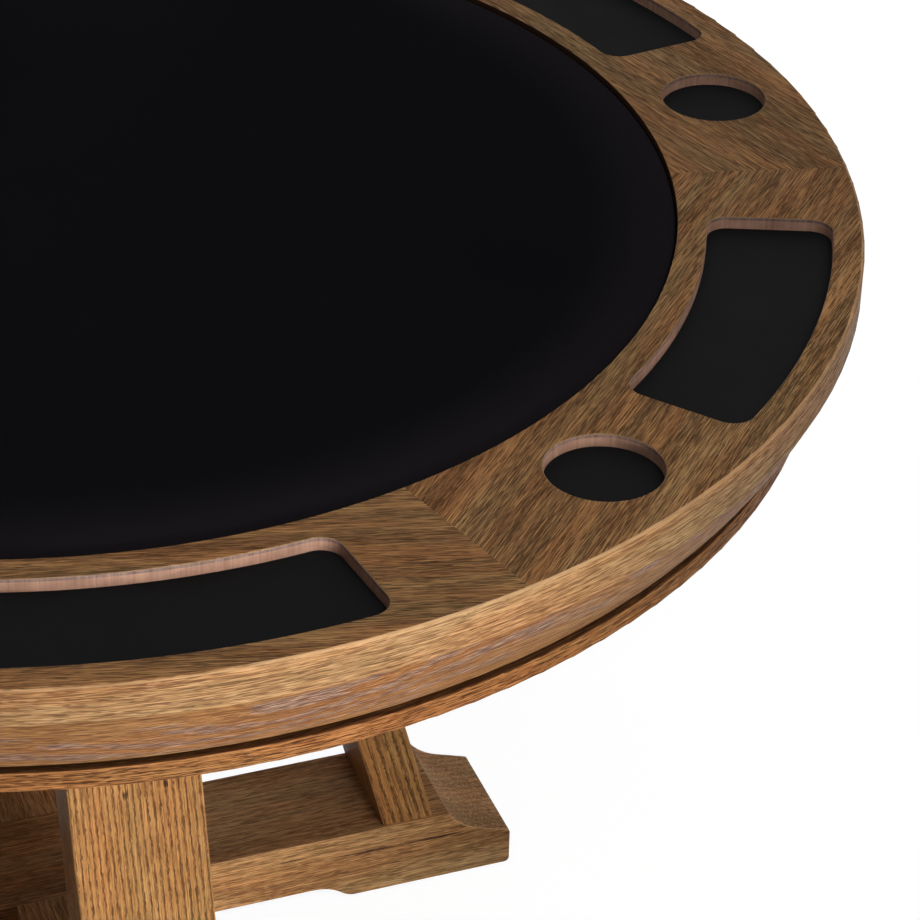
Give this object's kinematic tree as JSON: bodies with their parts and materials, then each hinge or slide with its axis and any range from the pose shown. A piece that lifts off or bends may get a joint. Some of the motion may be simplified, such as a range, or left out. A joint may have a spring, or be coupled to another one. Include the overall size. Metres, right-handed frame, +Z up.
{
  "type": "gaming table",
  "caption": "Round wooden game table with a padded black playing surface, cup wells and chip trays in a mitred rim, on a splayed-leg pedestal with crossed floor beams.",
  "frame": {"origin": "on the floor, on the table's upright axis", "axes": "+Z up; +X along the floor beam that runs whole over the cross joint; +Y along the other floor beam"},
  "size_m": [1.372, 1.372, 0.776],
  "materials": {
    "rim_wood": "open-grained, stained brown, satin",
    "band_wood": "open-grained, stained brown, satin",
    "skirt_wood": "open-grained, stained brown, satin",
    "base_wood": "open-grained, stained brown, satin",
    "panel_wood": "plain birch plywood",
    "dowel_wood": "plain beech",
    "well_lining": "matte black sheet",
    "play_cover": "close-woven black cloth",
    "play_pad": "closed-cell foam pad",
    "fastener_steel": "zinc plated",
    "glide_nylon": "moulded nylon"
  },
  "bodies": {
    "base": {"apron_ring": "base_wood", "apron_screws": "fastener_steel", "base_ring": "base_wood", "floor_beam_a": "base_wood", "floor_beam_b": "base_wood", "floor_glides": "glide_nylon", "head_rail_a": "base_wood", "head_rail_b": "base_wood", "lap_screws": "fastener_steel", "leg_1": "base_wood", "leg_2": "base_wood", "leg_3": "base_wood", "leg_4": "base_wood", "locating_dowels": "dowel_wood", "lower_leg_bolts": "fastener_steel", "lower_leg_washers": "fastener_steel", "rail_screws": "fastener_steel", "upper_leg_bolts": "fastener_steel", "upper_leg_washers": "fastener_steel"},
    "game_top": {"cup_lining_1": "well_lining", "cup_lining_2": "well_lining", "cup_lining_3": "well_lining", "cup_lining_4": "well_lining", "cup_lining_5": "well_lining", "cup_lining_6": "well_lining", "edge_band": "band_wood", "mitre_splines": "panel_wood", "panel_screws": "fastener_steel", "rim_segment_1": "rim_wood", "rim_segment_2": "rim_wood", "rim_segment_3": "rim_wood", "rim_segment_4": "rim_wood", "rim_segment_5": "rim_wood", "rim_segment_6": "rim_wood", "skirt": "skirt_wood", "top_panel": "panel_wood", "tray_lining_1": "well_lining", "tray_lining_2": "well_lining", "tray_lining_3": "well_lining", "tray_lining_4": "well_lining", "tray_lining_5": "well_lining", "tray_lining_6": "well_lining"},
    "playing_surface": {"play_board": "panel_wood", "play_cloth": "play_cover", "play_foam": "play_pad"}
  },
  "joints": [
    {"name": "top_lift", "type": "slide", "parent": "base", "child": "game_top", "axis": [0, 0, 1], "range_m": [0, 0.15]},
    {"name": "playing_surface_lift", "type": "slide", "parent": "game_top", "child": "playing_surface", "axis": [0, 0, 1], "range_m": [0, 0.12]}
  ]
}
